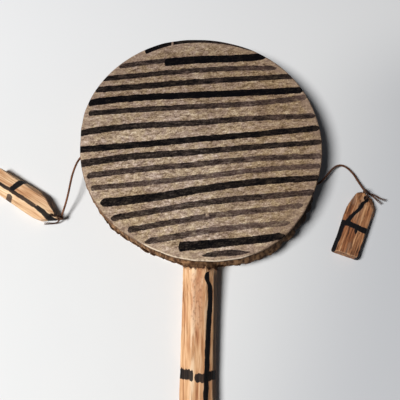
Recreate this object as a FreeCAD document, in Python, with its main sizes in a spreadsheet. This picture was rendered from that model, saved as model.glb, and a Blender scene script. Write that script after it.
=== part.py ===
"""Hand-held spin drum: a wooden hoop with two hide heads, carried on a whittled stick handle,
with a flat wooden striker hanging on a cord at each side.

Millimetres. The drum lies on its back head: Z is up, X and Y are zero at the middle of the
heads, Z is zero on the outside of the back head, and the handle runs towards -Y.
Left is -X and right is +X, as seen from above with the handle towards the viewer.
"""
import FreeCAD, Part
import math
import os
import Sketcher

os.makedirs("parts", exist_ok=True)
doc = FreeCAD.newDocument("spin_drum")

# Driving dimensions
SIZES = [
    ("drum_diameter", 180.0, "across the skins at the side"),
    ("drum_depth", 24.0, "from the outside of one head to the outside of the other"),
    ("skin_thickness", 0.8, "dried hide"),
    ("skin_corner", 2.6, "outside radius where a head turns down the side"),
    ("back_skirt_depth", 7.0, "how far the back skin comes up the side"),
    ("skirt_gap", 1.0, "bare wood between the back skirt and the front one"),
    ("skin_gap", 0.15, "glue line between the hoop and a skirt"),
    ("hoop_wall", 7.0, "radial thickness of the wooden hoop"),
    ("hoop_inner_edge", 1.2, "bevel on the inner edges of the hoop"),
    ("grip_length", 200.0, "handle outside the drum"),
    ("grip_width", 25.0, "across the widest ridges"),
    ("grip_thickness", 16.0, "from the top ridge to the under side, at the drum"),
    ("grip_end_bevel", 2.5, "length of the bevel at the handle's free end"),
    ("shoulder_clearance", 0.3, "between the handle's shoulder and the skin"),
    ("spindle_root_radius", 5.5, "spindle where it enters the hoop"),
    ("spindle_tip_radius", 3.5, "spindle where it leaves the hoop at the top"),
    ("spindle_proud", 0.8, "spindle end beyond the skin at the top"),
    ("spindle_fit", 0.1, "radial clearance of the spindle in the hoop"),
    ("skin_cut_clearance", 0.4, "radial clearance where a skirt is cut for a spindle or cord"),
    ("cord_diameter", 1.3, "twisted cord"),
    ("cord_hole_clearance", 0.3, "radial clearance of a cord in the hoop"),
    ("cord_pivot_out", 1.2, "swing centre of a cord outside the skin"),
    ("cord_end_gap", 0.1, "between a cord's end face and the round end or knot it meets"),
    ("stop_knot_radius", 2.3, "knot that holds a cord inside the hoop"),
    ("stop_knot_seat", 0.25, "between that knot and the hoop's inner wall"),
    ("stop_tail_length", 5.0, "cut end of the cord beyond that knot"),
    ("tie_knot_radius", 1.8, "knot at a striker's tip"),
    ("tie_knot_out", 2.2, "knot centre beyond the striker's tip"),
    ("tie_hole_clearance", 0.55, "radial clearance of the cord in a striker's hole"),
    ("tie_loop_clearance", 0.25, "between the loop and the striker's tip above and below"),
    ("tail_diameter", 0.9, "frayed strand of a cord's end"),
    ("left_striker_length", 61.0, "tip to far end"),
    ("left_striker_width", 20.0, "across the widest place"),
    ("left_striker_thickness", 9.0, "table to the ridge"),
    ("right_striker_length", 51.5, "tip to far end"),
    ("right_striker_width", 21.5, "across the widest place"),
    ("right_striker_thickness", 9.0, "table to the top face"),
    ("striker_tip_thickness", 4.0, "whittled tip"),
    ("striker_tip_rise", 2.9, "under side of the tip above the table"),
    ("striker_under_bevel", 12.0, "length of the bevel under the tip"),
    ("striker_top_bevel", 12.0, "length of the bevel over the tip"),
    ("tie_hole_inset", 4.2, "hole centre from the striker's tip"),
    ("left_tip_reach", 121.4, "left striker's tip from the middle of the drum"),
    ("right_tip_reach", 130.1, "right striker's tip from the middle of the drum"),
    ("overrun", 5.0, "how far a cutting tool runs past the wood"),
]

# Directions in degrees about Z: the handle, the top of the drum, where each cord leaves the
# side, where each striker's tip lies, and which way each striker lies from its tip
HANDLE_ANGLE = 270.0
TOP_ANGLE = 90.0
LEFT_EXIT_ANGLE = 185.0
RIGHT_EXIT_ANGLE = -19.5
LEFT_TIP_ANGLE = 207.6
RIGHT_TIP_ANGLE = -15.8
LEFT_STRIKER_ANGLE = 147.3
RIGHT_STRIKER_ANGLE = -113.5
EXIT_ANGLES = {"left": LEFT_EXIT_ANGLE, "right": RIGHT_EXIT_ANGLE}
TIP_ANGLES = {"left": LEFT_TIP_ANGLE, "right": RIGHT_TIP_ANGLE}
STRIKER_ANGLES = {"left": LEFT_STRIKER_ANGLE, "right": RIGHT_STRIKER_ANGLE}

# Cord routes, chosen by hand: the points between a cord's exit and its knot
LEFT_ROUTE = [
    (-92.8, -11.0, 12.3),
    (-94.4, -15.6, 12.7),
    (-96.0, -22.3, 12.9),
    (-97.0, -29.5, 12.7),
    (-98.1, -36.6, 11.5),
    (-99.7, -42.8, 9.4),
    (-101.7, -48.2, 7.2),
]
RIGHT_ROUTE = [
    (89.4, -29.6, 11.2),
    (93.6, -25.6, 9.3),
    (98.6, -19.4, 6.8),
    (103.6, -13.9, 4.6),
    (109.0, -10.7, 3.0),
    (114.6, -12.2, 2.3),
    (119.4, -17.8, 2.2),
    (122.7, -25.6, 2.7),
]
# Frayed ends of the right cord beyond its knot, and the one of the left cord
RIGHT_TAILS = [
    [(0.4, 3.0, -0.4), (-0.6, 8.2, -1.4), (0.8, 13.0, -1.8), (-0.3, 17.6, -2.4)],
    [(0.5, 3.0, -0.9), (0.7, 7.6, -2.2), (2.6, 11.6, -2.2), (3.6, 15.4, -2.6)],
]
LEFT_TAILS = [
    [(0.5, 2.0, -1.3), (1.2, 4.4, -2.5), (3.8, 6.6, -3.3), (6.6, 8.2, -3.6), (9.6, 10.2, -3.7)],
]

# Whittled section of the grip, and how wide and thick it is from its root to its end face, with
# how far its middle lies above the drum's: it is thinned just below the drum. The middle ones
# come with their place as a share of the length
GRIP_SECTION_SHARES = [
    (0.5, -0.22), (0.41, 0.18), (0.17, 0.475), (-0.18, 0.5),
    (-0.5, 0.05), (-0.39, -0.36), (-0.09, -0.5), (0.38, -0.46),
]
GRIP_ROOT_SHARES = (0.98, 0.98, 0.0)
GRIP_MIDDLE_SHARES = [
    (0.03, (0.98, 0.98, 0.0)), (0.16, (0.98, 0.85, -0.178)), (0.28, (0.985, 0.8, -0.232)),
    (0.4, (0.98, 0.78, -0.284)), (0.62, (0.97, 0.77, -0.295)),
]
GRIP_END_SHARES = (1.0, 0.76, -0.3)
GRIP_FACE_SHARES = (0.86, 0.65, -0.3)
# Outline of each striker, seen from above: x as a share of length, y as a share of width
LEFT_OUTLINE_SHARES = [
    (0.0, -0.125), (0.149, -0.36), (0.23, -0.545), (0.36, -0.59), (0.6, -0.56), (1.0, -0.49),
    (0.99, 0.37), (0.6, 0.39), (0.27, 0.395), (0.154, 0.305), (0.0, -0.02),
]
RIGHT_OUTLINE_SHARES = [
    (0.0, -0.12), (0.045, -0.28), (0.28, -0.43), (0.54, -0.44), (0.77, -0.42), (1.0, -0.45),
    (0.975, 0.53), (0.55, 0.545), (0.235, 0.565), (0.02, 0.33),
]
# Section of a striker, looking along it: y as a share of width, z as a share of thickness
LEFT_SECTION_SHARES = [
    (-0.42, 0.0), (0.26, 0.0), (0.44, 0.4), (0.4, 0.66), (0.0, 1.0), (-0.45, 0.92), (-0.6, 0.42),
]
RIGHT_SECTION_SHARES = [
    (-0.36, 0.0), (0.44, 0.0), (0.57, 0.3), (0.42, 0.95), (0.1, 1.0), (-0.22, 0.96), (-0.47, 0.5),
]
# Across each striker as shares of its width: the hole, and the knot outside the tip
LEFT_TIE_SHARES = (-0.07, -0.18)
RIGHT_TIE_SHARES = (0.08, -0.015)
# A cord's arc takes this share of the shorter of the two runs beside it
ARC_SHARE = 0.45
HALF_TURN = 180.0
AXIS_X = FreeCAD.Vector(1, 0, 0)
AXIS_Y = FreeCAD.Vector(0, 1, 0)
AXIS_Z = FreeCAD.Vector(0, 0, 1)

sheet = doc.addObject("Spreadsheet::Sheet", "Sizes")
for row, (alias, number, note) in enumerate(SIZES, start=1):
    sheet.set(f"A{row}", alias)
    sheet.set(f"B{row}", str(number))
    sheet.setAlias(f"B{row}", alias)
    sheet.set(f"C{row}", note)
doc.recompute()


def size(expression):
    """The number that an expression on the sheet's words gives."""
    result = sheet.evalExpression(expression)
    return float(getattr(result, "Value", result))


def bound(expression):
    """The same expression, written so that any object can read it from the sheet."""
    words = sorted((alias for alias, _, _ in SIZES), key=len, reverse=True)
    text = expression
    for place, alias in enumerate(words):
        text = text.replace(alias, f"<{place}>")
    for place, alias in enumerate(words):
        text = text.replace(f"<{place}>", f"Sizes.{alias}")
    return text


def bind(thing, **expressions):
    """Tie properties of an object to expressions on the sheet."""
    for name, expression in expressions.items():
        thing.setExpression(name, bound(expression))


def new_body(label):
    body = doc.addObject("PartDesign::Body", label)
    body.Label = label
    return body


def new_sketch(body, name, plane, offset=None):
    """A sketch on one of the body's own origin planes, moved along its normal if asked."""
    sketch = body.newObject("Sketcher::SketchObject", name)
    support = next(part for part in body.Origin.OriginFeatures if part.Role == plane)
    sketch.AttachmentSupport = (support, [""])
    sketch.MapMode = "FlatFace"
    if offset:
        sketch.setExpression("AttachmentOffset.Base.z", bound(offset))
    return sketch


def pin_point(sketch, edge, end, across, up):
    """Hold one end of an edge at a place given by two expressions on the sheet."""
    for kind, axis, expression in (("DistanceX", -2, across), ("DistanceY", -1, up)):
        if expression == "0":
            sketch.addConstraint(Sketcher.Constraint("PointOnObject", edge, end, axis))
            continue
        index = sketch.addConstraint(
            Sketcher.Constraint(kind, -1, 1, edge, end, size(expression)))
        sketch.setExpression(f"Constraints[{index}]", bound(expression))


def draw_outline(sketch, corners):
    """A closed outline of straight edges through corners given as pairs of expressions."""
    places = [FreeCAD.Vector(size(across), size(up), 0) for across, up in corners]
    count = len(places)
    for index in range(count):
        sketch.addGeometry(Part.LineSegment(places[index], places[(index + 1) % count]), False)
    for index in range(count):
        sketch.addConstraint(
            Sketcher.Constraint("Coincident", index, 2, (index + 1) % count, 1))
        pin_point(sketch, index, 1, *corners[index])


def draw_circle(sketch, radius, across="0", up="0"):
    """A full circle whose radius and centre are expressions on the sheet."""
    centre = FreeCAD.Vector(size(across), size(up), 0)
    edge = sketch.addGeometry(Part.Circle(centre, AXIS_Z, size(radius)), False)
    index = sketch.addConstraint(Sketcher.Constraint("Radius", edge, size(radius)))
    sketch.setExpression(f"Constraints[{index}]", bound(radius))
    pin_point(sketch, edge, 3, across, up)


def pad(body, sketch, name, length):
    feature = body.newObject("PartDesign::Pad", name)
    feature.Profile = sketch
    bind(feature, Length=length)
    doc.recompute()
    return feature


def cut_through(body, sketch, name):
    """Cut a sketch right through the body, both ways, and make sure that it cut."""
    before = body.Shape.Volume
    feature = body.newObject("PartDesign::Pocket", name)
    feature.Profile = sketch
    feature.Type = "ThroughAll"
    feature.Midplane = True
    doc.recompute()
    check_cut(body, name, before)


def cut_outline(body, name, plane, corners):
    """Cut everything inside an outline right through the body."""
    sketch = new_sketch(body, name + "_outline", plane)
    draw_outline(sketch, corners)
    cut_through(body, sketch, name)


def bore(body, name, radius, length, start, direction):
    """Drill a round hole from a start point along a direction, and make sure that it cut."""
    before = body.Shape.Volume
    hole = body.newObject("PartDesign::SubtractiveCylinder", name)
    bind(hole, Radius=radius, Height=length)
    hole.Placement = FreeCAD.Placement(start, FreeCAD.Rotation(AXIS_Z, direction))
    doc.recompute()
    check_cut(body, name, before)


def check_cut(body, name, before):
    if not body.Shape.Volume < before:
        raise RuntimeError(f"{name} cut nothing from {body.Label}")


def around(angle, radius, height):
    """A point at an angle in degrees and a radius about the drum's middle."""
    turn = math.radians(angle)
    return FreeCAD.Vector(radius * math.cos(turn), radius * math.sin(turn), height)


def circle_edges(shape, radius, height, slack):
    """Names of the circular edges about Z that have this radius and height."""
    names = []
    for index, edge in enumerate(shape.Edges, start=1):
        curve = edge.Curve
        if not isinstance(curve, Part.Circle):
            continue
        if abs(curve.Radius - radius) < slack and abs(curve.Center.z - height) < slack:
            names.append(f"Edge{index}")
    return names


def dress(body, kind, name, base, edges, **expressions):
    """A fillet or chamfer on named edges of a feature."""
    feature = body.newObject(kind, name)
    feature.Base = (base, edges)
    bind(feature, **expressions)
    doc.recompute()
    return feature


def turned(body, name, corners):
    """Revolve an outline drawn in the XZ plane about the Z axis."""
    sketch = new_sketch(body, name + "_profile", "XZ_Plane")
    draw_outline(sketch, corners)
    feature = body.newObject("PartDesign::Revolution", name)
    feature.Profile = sketch
    feature.ReferenceAxis = (sketch, ["V_Axis"])
    feature.Angle = 2 * HALF_TURN
    doc.recompute()
    return feature


DRUM_RADIUS = "drum_diameter / 2"
HOOP_RADIUS = "(drum_diameter / 2 - skin_thickness - skin_gap)"
HOOP_BORE = "(drum_diameter / 2 - skin_thickness - skin_gap - hoop_wall)"
TIP_TOP = "striker_tip_rise + striker_tip_thickness"
EDGE_SLACK = size("skin_thickness") / 10
MID_DEPTH = size("drum_depth / 2")


def side_holes(body, names, skin):
    """Holes through the drum's side: the spindle's two and one for each cord."""
    wanted = [
        ("spindle_root", "spindle_root_radius", HANDLE_ANGLE),
        ("spindle_tip", "spindle_tip_radius", TOP_ANGLE),
        ("left_cord", "cord_diameter / 2", EXIT_ANGLES["left"]),
        ("right_cord", "cord_diameter / 2", EXIT_ANGLES["right"]),
    ]
    for name, radius, angle in wanted:
        if name not in names:
            continue
        fit = "cord_hole_clearance" if name.endswith("cord") else "spindle_fit"
        room = "skin_cut_clearance" if skin else fit
        start = around(angle, size(HOOP_BORE + " - overrun"), MID_DEPTH)
        bore(body, f"{name}_hole", f"{radius} + {room}", "hoop_wall + 2 * overrun",
             start, around(angle, 1, 0))


def make_hoop():
    """Turned wooden ring between the two heads."""
    body = new_body("hoop")
    ring = turned(body, "hoop_ring", [
        (HOOP_BORE, "skin_thickness"),
        (HOOP_RADIUS, "skin_thickness"),
        (HOOP_RADIUS, "drum_depth - skin_thickness"),
        (HOOP_BORE, "drum_depth - skin_thickness"),
    ])
    faces = ("skin_thickness", "drum_depth - skin_thickness")
    outer = []
    for height in faces:
        outer += circle_edges(ring.Shape, size(HOOP_RADIUS), size(height), EDGE_SLACK)
    rounded = dress(body, "PartDesign::Fillet", "hoop_outer_edges", ring, outer,
                    Radius="skin_corner - skin_thickness - skin_gap")
    inner = []
    for height in faces:
        inner += circle_edges(rounded.Shape, size(HOOP_BORE), size(height), EDGE_SLACK)
    dress(body, "PartDesign::Chamfer", "hoop_inner_edges", rounded, inner,
          Size="hoop_inner_edge")
    side_holes(body, ("spindle_root", "spindle_tip", "left_cord", "right_cord"), skin=False)
    return body


def make_skin(label, face, inside, skirt_end, holes):
    """One head: a disc of hide turned over the hoop's edge and down or up its side."""
    body = new_body(label)
    wall = "(drum_diameter / 2 - skin_thickness)"
    cap = turned(body, label + "_cap", [
        ("0", face),
        (DRUM_RADIUS, face),
        (DRUM_RADIUS, skirt_end),
        (wall, skirt_end),
        (wall, inside),
        ("0", inside),
    ])
    inner = circle_edges(cap.Shape, size(wall), size(inside), EDGE_SLACK)
    eased = dress(body, "PartDesign::Fillet", label + "_inner_turn", cap, inner,
                  Radius="skin_corner - skin_thickness")
    outer = circle_edges(eased.Shape, size(DRUM_RADIUS), size(face), EDGE_SLACK)
    dress(body, "PartDesign::Fillet", label + "_outer_turn", eased, outer, Radius="skin_corner")
    side_holes(body, holes, skin=True)
    return body


def make_handle():
    """Whittled stick: a faceted grip outside the drum and a round spindle through it."""
    body = new_body("handle")
    sections = []
    stations = [
        (f"{DRUM_RADIUS} - overrun", GRIP_ROOT_SHARES),
        *[(f"{DRUM_RADIUS} + grip_length * {share}", shares)
          for share, shares in GRIP_MIDDLE_SHARES],
        (f"{DRUM_RADIUS} + grip_length - grip_end_bevel", GRIP_END_SHARES),
        (f"{DRUM_RADIUS} + grip_length", GRIP_FACE_SHARES),
    ]
    for number, (distance, (wide, thick, lift)) in enumerate(stations):
        sketch = new_sketch(body, f"grip_section_{number}", "XZ_Plane", distance)
        draw_outline(sketch, [
            (f"grip_width * {wide * across}", f"grip_thickness * {thick * up + lift}")
            for across, up in GRIP_SECTION_SHARES])
        sections.append(sketch)
    grip = body.newObject("PartDesign::AdditiveLoft", "grip")
    grip.Profile = sections[0]
    grip.Sections = sections[1:]
    grip.Ruled = True
    doc.recompute()
    low = FreeCAD.Vector(0, 0, -size("drum_depth"))
    bore(body, "shoulder_cove", f"{DRUM_RADIUS} + shoulder_clearance", "2 * drum_depth",
         low, AXIS_Z)
    parts = [
        ("root", "AdditiveCylinder", f"{DRUM_RADIUS} + overrun", f"-({HOOP_BORE})",
         {"Radius": "spindle_root_radius"}),
        ("taper", "AdditiveCone", f"-({HOOP_BORE})", HOOP_BORE,
         {"Radius1": "spindle_root_radius", "Radius2": "spindle_tip_radius"}),
        ("tip", "AdditiveCylinder", HOOP_BORE, f"{DRUM_RADIUS} + spindle_proud",
         {"Radius": "spindle_tip_radius"}),
    ]
    begin = -size(parts[0][2])
    for name, kind, _, finish, radii in parts:
        solid = body.newObject("PartDesign::" + kind, "spindle_" + name)
        reach = size(finish) - begin
        bind(solid, **radii)
        solid.Height = reach
        solid.Placement = FreeCAD.Placement(FreeCAD.Vector(0, begin, 0),
                                            FreeCAD.Rotation(AXIS_Z, AXIS_Y))
        begin = size(finish)
        doc.recompute()
    body.setExpression("Placement.Base.z", bound("drum_depth / 2"))
    return body


def make_striker(side, outline, section, tie_shares):
    """Flat whittled striker. Its own X runs from the tip to the far end, Z is up."""
    body = new_body(f"{side}_striker")
    length = f"{side}_striker_length"
    width = f"{side}_striker_width"
    thickness = f"{side}_striker_thickness"
    plan = new_sketch(body, f"{side}_plan", "XY_Plane")
    draw_outline(plan, [("0" if along == 0 else f"{length} * {along}", f"{width} * {across}")
                        for along, across in outline])
    pad(body, plan, f"{side}_blank", thickness)
    ends = [(f"{width} * {across}", "0" if up == 0 else f"{thickness} * {up}")
            for across, up in section]
    far_right = f"{width} * {max(across for across, _ in section)} + overrun"
    far_left = f"{width} * {min(across for across, _ in section)} - overrun"
    above = f"{thickness} + overrun"
    top = max(range(len(ends)), key=lambda place: section[place][1])
    right_side = [*ends[1:top + 1], (ends[top][0], above), (far_right, above), (far_right, "0")]
    left_side = [(far_left, "0"), (far_left, above), (ends[top][0], above), *ends[top:], ends[0]]
    under_tip = [("-overrun", "-overrun"), ("striker_under_bevel", "-overrun"),
                 ("striker_under_bevel", "0"), ("0", "striker_tip_rise"),
                 ("-overrun", "striker_tip_rise")]
    over_tip = [("-overrun", TIP_TOP), ("0", TIP_TOP), ("striker_top_bevel", thickness),
                ("striker_top_bevel", above), ("-overrun", above)]
    cut_outline(body, f"{side}_right_facets", "YZ_Plane", right_side)
    cut_outline(body, f"{side}_left_facets", "YZ_Plane", left_side)
    cut_outline(body, f"{side}_under_bevel", "XZ_Plane", under_tip)
    cut_outline(body, f"{side}_top_bevel", "XZ_Plane", over_tip)
    drill = new_sketch(body, f"{side}_hole", "XY_Plane")
    draw_circle(drill, "cord_diameter / 2 + tie_hole_clearance", "tie_hole_inset",
                f"{width} * {tie_shares[0]}")
    cut_through(body, drill, f"{side}_cord_hole")
    body.Placement = striker_place(side)
    return body


def striker_place(side):
    """Where a striker's own axes lie: its tip on the table, turned about Z."""
    tip = around(TIP_ANGLES[side], size(f"{side}_tip_reach"), 0)
    return FreeCAD.Placement(tip, FreeCAD.Rotation(AXIS_Z, STRIKER_ANGLES[side]))


def tube(name, points, diameter):
    """A round tube along straight runs joined by arcs as large as the runs allow."""
    spots = [FreeCAD.Vector(*point) for point in points]
    edges = []
    radii = []
    start = spots[0]
    for before, corner, after in zip(spots, spots[1:], spots[2:]):
        inward = (before - corner).normalize()
        outward = (after - corner).normalize()
        turn = math.pi - inward.getAngle(outward)
        reach = ARC_SHARE * min((corner - before).Length, (after - corner).Length)
        radius = reach / math.tan(turn / 2)
        bend = (inward + outward).normalize()
        depth = math.hypot(radius, reach) - radius
        first = corner + inward * reach
        last = corner + outward * reach
        edges.append(Part.LineSegment(start, first).toShape())
        edges.append(Part.Arc(first, corner + bend * depth, last).toShape())
        radii.append(radius)
        start = last
    edges.append(Part.LineSegment(start, spots[-1]).toShape())
    path = Part.Wire(edges)
    ring = Part.Circle(spots[0], spots[1] - spots[0], diameter / 2).toShape()
    solid = path.makePipeShell([Part.Wire([ring])], True, False)
    ideal = path.Length * math.pi * (diameter / 2) ** 2
    print(f"{name}: length {path.Length:.1f}, radii", [round(radius, 1) for radius in radii],
          f"volume {solid.Volume:.1f} of {ideal:.1f}")
    return solid


def knot_centre(side, tie_shares):
    """Middle of a striker's knot on the striker's own axes: the striker swings about it."""
    return FreeCAD.Vector(-size("tie_knot_out"),
                          size(f"{side}_striker_width") * tie_shares[1],
                          size("striker_tip_rise + striker_tip_thickness / 2"))


def make_cord(side, route, tie_shares):
    """Free stretch of cord from its swing centre at the drum's side to the striker's knot."""
    pivot = around(EXIT_ANGLES[side], size(f"{DRUM_RADIUS} + cord_pivot_out"), MID_DEPTH)
    knot = striker_place(side).multVec(knot_centre(side, tie_shares))
    first = FreeCAD.Vector(*route[0])
    last = FreeCAD.Vector(*route[-1])
    begin = pivot + (first - pivot).normalize() * size("cord_diameter / 2 + cord_end_gap")
    finish = knot + (last - knot).normalize() * size("tie_knot_radius + cord_end_gap")
    cord = doc.addObject("Part::Feature", f"{side}_cord")
    cord.Label = f"{side}_cord"
    cord.Shape = tube(cord.Label, [begin, *route, finish], size("cord_diameter"))
    print(f"{side} cord swings about", [round(value, 3) for value in pivot],
          "and its striker about", [round(value, 3) for value in knot])
    return cord


def placed(kind, name, base, rotation=None, **expressions):
    solid = doc.addObject(kind, name)
    bind(solid, **expressions)
    solid.Placement = FreeCAD.Placement(base, rotation or FreeCAD.Rotation())
    return solid


def make_stop_knot(side):
    """Cord end inside the hoop: a knot, its cut end, and the stem through the side."""
    knot_at = size(f"{HOOP_BORE} - stop_knot_seat - stop_knot_radius")
    pivot_at = size(f"{DRUM_RADIUS} + cord_pivot_out")
    tail = "stop_knot_radius + stop_tail_length"
    along = FreeCAD.Rotation(AXIS_Z, AXIS_X)
    pieces = [
        placed("Part::Sphere", f"{side}_inner_knot", FreeCAD.Vector(knot_at, 0, 0),
               Radius="stop_knot_radius"),
        placed("Part::Cylinder", f"{side}_stem", FreeCAD.Vector(knot_at, 0, 0), along,
               Radius="cord_diameter / 2",
               Height=f"{DRUM_RADIUS} + cord_pivot_out - {HOOP_BORE}"
                      " + stop_knot_seat + stop_knot_radius"),
        placed("Part::Sphere", f"{side}_stem_end", FreeCAD.Vector(pivot_at, 0, 0),
               Radius="cord_diameter / 2"),
        placed("Part::Cylinder", f"{side}_cut_end",
               FreeCAD.Vector(knot_at - size(tail), 0, 0), along,
               Radius="cord_diameter / 2", Height=tail),
    ]
    knot = doc.addObject("Part::MultiFuse", f"{side}_stop_knot")
    knot.Label = f"{side}_stop_knot"
    knot.Shapes = pieces
    knot.Placement = FreeCAD.Placement(FreeCAD.Vector(0, 0, MID_DEPTH),
                                       FreeCAD.Rotation(AXIS_Z, EXIT_ANGLES[side]))
    return knot


def make_tie(side, tie_shares, tails):
    """The cord's loop through the striker's hole, the knot at its tip and the frayed ends."""
    knot = knot_centre(side, tie_shares)
    hole = FreeCAD.Vector(size("tie_hole_inset"),
                          size(f"{side}_striker_width") * tie_shares[0], 0)
    reach = size("tie_hole_inset + cord_diameter / 2 + tie_hole_clearance")
    room = size("tie_loop_clearance + cord_diameter / 2")
    under = size("striker_tip_rise") * (1 - reach / size("striker_under_bevel")) - room
    climb = size(f"{side}_striker_thickness - ({TIP_TOP})") / size("striker_top_bevel")
    over = size(TIP_TOP) + climb * reach + room
    corners = [knot, (knot.x, knot.y, over), (hole.x, hole.y, over),
               (hole.x, hole.y, under), (knot.x, knot.y, under), knot]
    loop = doc.addObject("Part::Feature", f"{side}_loop")
    loop.Shape = tube(f"{side}_loop", corners, size("cord_diameter"))
    pieces = [loop, placed("Part::Sphere", f"{side}_knot", knot, Radius="tie_knot_radius")]
    for number, route in enumerate(tails):
        strand = doc.addObject("Part::Feature", f"{side}_tail_{number}")
        spots = [knot] + [knot + FreeCAD.Vector(*point) for point in route]
        strand.Shape = tube(strand.Name, spots, size("tail_diameter"))
        pieces.append(strand)
    tie = doc.addObject("Part::MultiFuse", f"{side}_tie")
    tie.Label = f"{side}_tie"
    tie.Shapes = pieces
    tie.Placement = striker_place(side)
    return tie


THROUGH_SIDE = ("spindle_root", "spindle_tip", "left_cord", "right_cord")
sub_parts = [
    make_hoop(),
    make_skin("front_skin", "drum_depth", "drum_depth - skin_thickness",
              "back_skirt_depth + skirt_gap", THROUGH_SIDE),
    make_skin("back_skin", "0", "skin_thickness", "back_skirt_depth", ("spindle_root",)),
    make_handle(),
    make_stop_knot("left"),
    make_stop_knot("right"),
    make_cord("left", LEFT_ROUTE, LEFT_TIE_SHARES),
    make_cord("right", RIGHT_ROUTE, RIGHT_TIE_SHARES),
    make_striker("left", LEFT_OUTLINE_SHARES, LEFT_SECTION_SHARES, LEFT_TIE_SHARES),
    make_striker("right", RIGHT_OUTLINE_SHARES, RIGHT_SECTION_SHARES, RIGHT_TIE_SHARES),
    make_tie("left", LEFT_TIE_SHARES, LEFT_TAILS),
    make_tie("right", RIGHT_TIE_SHARES, RIGHT_TAILS),
]
doc.recompute()

for thing in doc.Objects:
    if "Invalid" in thing.State or "Error" in thing.State:
        raise RuntimeError(f"{thing.Label} failed: {thing.State}")
for sub_part in sub_parts:
    shape = sub_part.Shape
    if shape.isNull() or not shape.isValid() or not shape.Solids:
        raise RuntimeError(f"{sub_part.Label} has no valid solid")
for sub_part in sub_parts:
    shape = sub_part.Shape
    box = shape.BoundBox
    print(f"{sub_part.Label}: {len(shape.Solids)} solid, volume {shape.Volume:.0f}, "
          f"x {box.XMin:.1f} to {box.XMax:.1f}, y {box.YMin:.1f} to {box.YMax:.1f}, "
          f"z {box.ZMin:.2f} to {box.ZMax:.2f}")
    shape.exportStep(f"parts/{sub_part.Label}.step")
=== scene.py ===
"""Looks of a hand-held spin drum: two hide heads on a wooden hoop, a whittled stick for a handle,
and a flat wooden striker on a twisted cord at each side.

Z is up out of the front head and the handle runs towards -Y. Forms and finishes are worked out in
millimetres, which MM turns into metres; camera, lamp, floor and cord routes are in metres.
"""
import bpy
import random
from math import atan2, cos, degrees, pi, radians, sin, tau
from mathutils import Matrix, Vector, noise


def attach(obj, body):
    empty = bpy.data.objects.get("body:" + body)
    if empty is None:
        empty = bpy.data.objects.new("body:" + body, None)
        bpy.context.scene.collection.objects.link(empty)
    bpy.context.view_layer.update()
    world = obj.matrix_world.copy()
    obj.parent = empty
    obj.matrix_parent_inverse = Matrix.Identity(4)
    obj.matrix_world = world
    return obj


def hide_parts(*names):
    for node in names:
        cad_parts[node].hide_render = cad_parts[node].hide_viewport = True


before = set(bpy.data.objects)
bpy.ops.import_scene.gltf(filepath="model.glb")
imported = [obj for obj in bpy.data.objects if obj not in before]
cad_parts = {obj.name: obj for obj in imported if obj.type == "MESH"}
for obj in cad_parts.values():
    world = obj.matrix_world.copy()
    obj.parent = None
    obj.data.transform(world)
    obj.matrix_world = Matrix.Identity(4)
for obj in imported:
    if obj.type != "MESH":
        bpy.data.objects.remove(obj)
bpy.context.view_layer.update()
scene = bpy.context.scene

MM = 0.001
HEAD_RADIUS = 90.0
HEAD_TOP = 24.0
MID_DEPTH = HEAD_TOP / 2
HANDLE_TURN = radians(270)
CORD = 1.3
INK_SPREAD = 0.6

# Camera, tilted away from straight down
CAMERA_AT, CAMERA_TILT = (0, -0.1470, 0.3286), 18.24
FOCAL_LENGTH, NEAREST_SEEN = 40.5, 0.02

lens = bpy.data.cameras.new("overhead")
lens.lens = FOCAL_LENGTH
lens.clip_start = NEAREST_SEEN
camera = bpy.data.objects.new("overhead", lens)
camera.location = CAMERA_AT
camera.rotation_euler = (radians(CAMERA_TILT), 0, 0)
scene.collection.objects.link(camera)
scene.camera = camera

# Where each cord leaves the drum, in degrees about Z
CORD_EXITS = {"left": 185.0, "right": -19.5}
# Cord routes in metres, from the hole in the drum's side to the knot at the striker
LEFT_ROUTE = [
    (-0.090853, -0.007949, 0.0120), (-0.0928, -0.0110, 0.0123), (-0.0944, -0.0156, 0.0127),
    (-0.0960, -0.0223, 0.0129), (-0.0970, -0.0295, 0.0127), (-0.0981, -0.0366, 0.0115),
    (-0.0997, -0.0428, 0.0094), (-0.1017, -0.0482, 0.0072), (-0.103789, -0.054403, 0.0049),
]
RIGHT_ROUTE = [
    (0.085969, -0.030443, 0.0120), (0.0894, -0.0296, 0.0112), (0.0936, -0.0256, 0.0093),
    (0.0986, -0.0194, 0.0068), (0.1036, -0.0139, 0.0046), (0.1090, -0.0107, 0.0030),
    (0.1146, -0.0122, 0.0023), (0.1194, -0.0178, 0.0022), (0.1227, -0.0256, 0.0027),
    (0.125766, -0.033278, 0.0049),
]


def striker_place(reach, at, turn):
    """A striker's own axes: X from its tip to its far end, Z up. Its tip is given by distance
    and direction from the drum's middle."""
    tip = Matrix.Translation((reach * cos(radians(at)) * MM, reach * sin(radians(at)) * MM, 0))
    return tip @ Matrix.Rotation(radians(turn), 4, "Z")


LEFT_PLACE = striker_place(reach=121.4, at=207.6, turn=147.3)
RIGHT_PLACE = striker_place(reach=130.1, at=-15.8, turn=-113.5)

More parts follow.
